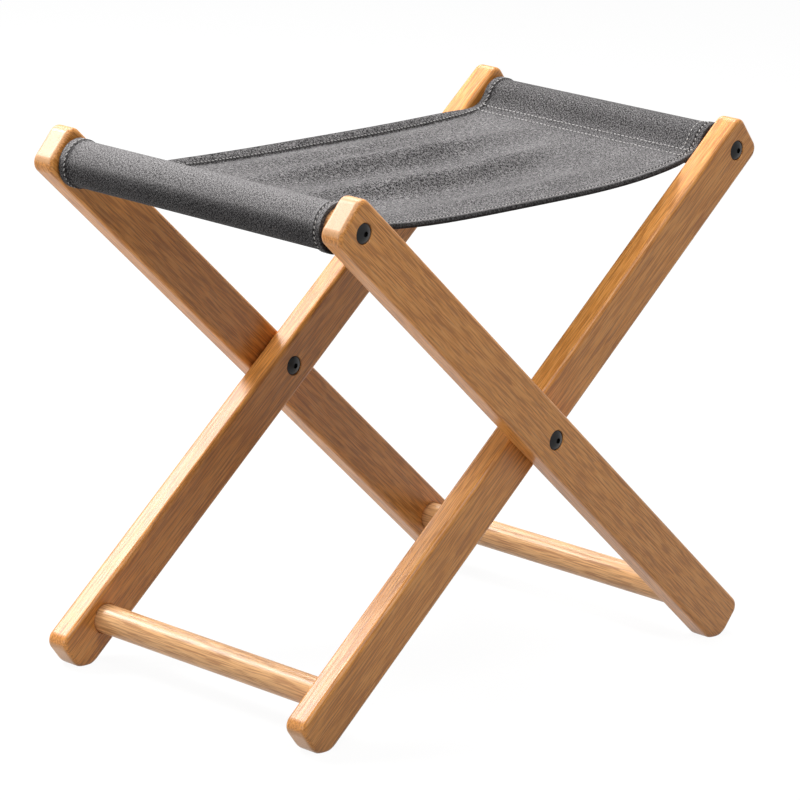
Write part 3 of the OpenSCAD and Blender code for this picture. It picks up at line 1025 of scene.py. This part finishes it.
# Glow that the camera and glossy rays see on the floor, and its share there
FLOOR_GLOW = 1.15
FLOOR_GLOW_SHARE = 0.82
# Strength of the world as light on the stool, and as the background that is seen
WORLD_LIGHT = 0.08
WORLD_SEEN = 1.0


def make_floor():
    """Floor that is seen white, keeps the stool's shadow and throws back the light of a grey one."""
    g = Graph("floor")
    path = g.add("ShaderNodeLightPath")
    seen = g.larger(path.outputs["Is Camera Ray"], path.outputs["Is Glossy Ray"])
    diffuse = g.add("ShaderNodeBsdfDiffuse")
    g.put(diffuse.inputs["Color"], FLOOR_GREY)
    glow = g.add("ShaderNodeEmission")
    g.put(glow.inputs["Color"], WHITE)
    g.put(glow.inputs["Strength"], FLOOR_GLOW)
    mixed = g.add("ShaderNodeMixShader")
    g.put(mixed.inputs[0], g.times(seen, FLOOR_GLOW_SHARE))
    g.put(mixed.inputs[1], diffuse.outputs[0])
    g.put(mixed.inputs[2], glow.outputs[0])
    g.put(g.nodes["Material Output"].inputs["Surface"], mixed.outputs[0])
    half = FLOOR_SIZE / 2
    corners = [(-half, -half, 0), (half, -half, 0), (half, half, 0), (-half, half, 0)]
    floor = new_object("floor", corners, [(0, 1, 2, 3)], g.material)


def make_world():
    """World that is seen white and lights the stool only a little."""
    world = bpy.data.worlds.new("world")
    bpy.context.scene.world = world
    world.use_nodes = True
    nodes, links = world.node_tree.nodes, world.node_tree.links
    path = nodes.new("ShaderNodeLightPath")
    seen = path.outputs["Is Camera Ray"]
    for name in ("Is Glossy Ray", "Is Transmission Ray"):
        both = nodes.new("ShaderNodeMath")
        both.operation = "MAXIMUM"
        links.new(seen, both.inputs[0])
        links.new(path.outputs[name], both.inputs[1])
        seen = both.outputs[0]
    strength = nodes.new("ShaderNodeMapRange")
    links.new(seen, strength.inputs["Value"])
    strength.inputs["To Min"].default_value = WORLD_LIGHT
    strength.inputs["To Max"].default_value = WORLD_SEEN
    background = nodes["Background"]
    background.inputs["Color"].default_value = WHITE
    links.new(strength.outputs[0], background.inputs["Strength"])


# Lights

LIGHT_DISTANCE = 2.6
# The camera stands at azimuth -49. Key, sheen and low shine from its left, and sheen is small and bright
# for the gloss on the legs' upper narrow faces. Right and top shine from beyond the stool.
LIGHTS = (
    # Name, azimuth and elevation in degrees, width and height, and power in watts
    ("key", -164, 38, (1.1, 1.0), 25),
    ("sheen", -157, 45, (0.8, 0.65), 35),
    ("low", -100, 7, (1.4, 0.4), 16),
    ("right", 150, 45, (1.2, 0.8), 22),
    ("front", -30, 55, (1.2, 1.2), 27),
    ("top", 120, 72, (1.2, 1.2), 54),
)


def make_light(name, azimuth, elevation, size, power):
    """White area light on a sphere round the stool, aimed at it."""
    away = away_from_stool(math.radians(azimuth), math.radians(elevation))
    light = bpy.data.lights.new(name, "AREA")
    light.shape = "RECTANGLE"
    light.size, light.size_y = size
    light.energy = power
    obj = bpy.data.objects.new(name, light)
    bpy.context.scene.collection.objects.link(obj)
    obj.location = PIVOT + away * LIGHT_DISTANCE
    obj.rotation_euler = away.to_track_quat("Z", "Y").to_euler()


make_floor()
make_world()
for settings in LIGHTS:
    make_light(*settings)
bpy.context.scene.view_settings.view_transform = "Standard"
